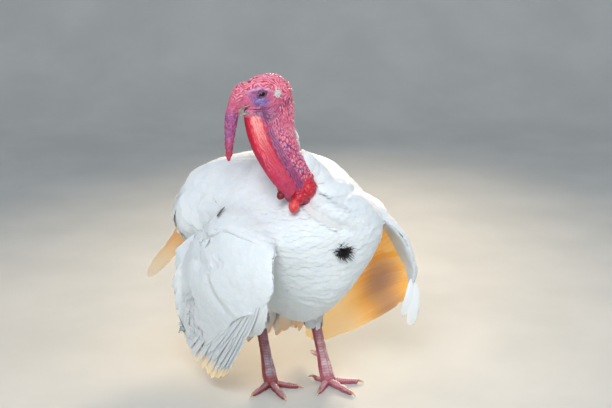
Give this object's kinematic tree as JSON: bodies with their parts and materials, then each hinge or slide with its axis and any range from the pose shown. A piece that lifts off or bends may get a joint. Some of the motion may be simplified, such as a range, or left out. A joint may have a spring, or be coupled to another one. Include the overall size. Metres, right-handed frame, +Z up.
{
  "type": "domestic turkey tom model",
  "caption": "Life-size still model of a white domestic turkey tom, half in display, with drooped wings, low fanned tail, hanging snood, beard and bare caruncled neck.",
  "frame": {"origin": "centre of the bounding box on the floor, between and behind the feet", "axes": "+Z up, -Y the way the breast faces, +X the bird's own left"},
  "size_m": [0.5031, 0.7684, 0.7472],
  "materials": {
    "white_feathers": "matt white plumage, standing in for feathers",
    "wattle_skin": "soft red bare skin with a slight sheen",
    "bare_skin": "pink wrinkled bare skin",
    "horn": "horn of the bill, claws and spurs",
    "scaled_leg": "pinkish scaled skin",
    "beard_bristle": "coarse black bristles",
    "eye": "glossy dark brown eye"
  },
  "bodies": {
    "root": {"beard": "beard_bristle", "bill_lower": "horn", "bill_upper": "horn", "claw_hind_left": "horn", "claw_hind_right": "horn", "claw_inner_left": "horn", "claw_inner_right": "horn", "claw_middle_left": "horn", "claw_middle_right": "horn", "claw_outer_left": "horn", "claw_outer_right": "horn", "eye_left": "eye", "eye_right": "eye", "foot_left": "scaled_leg", "foot_right": "scaled_leg", "head": "bare_skin", "neck": "wattle_skin", "shank_left": "scaled_leg", "shank_right": "scaled_leg", "snood": "bare_skin", "spur_left": "horn", "spur_right": "horn", "tail": "white_feathers", "thigh_left": "white_feathers", "thigh_right": "white_feathers", "torso": "white_feathers", "wing_left": "white_feathers", "wing_right": "white_feathers"}
  },
  "joints": []
}
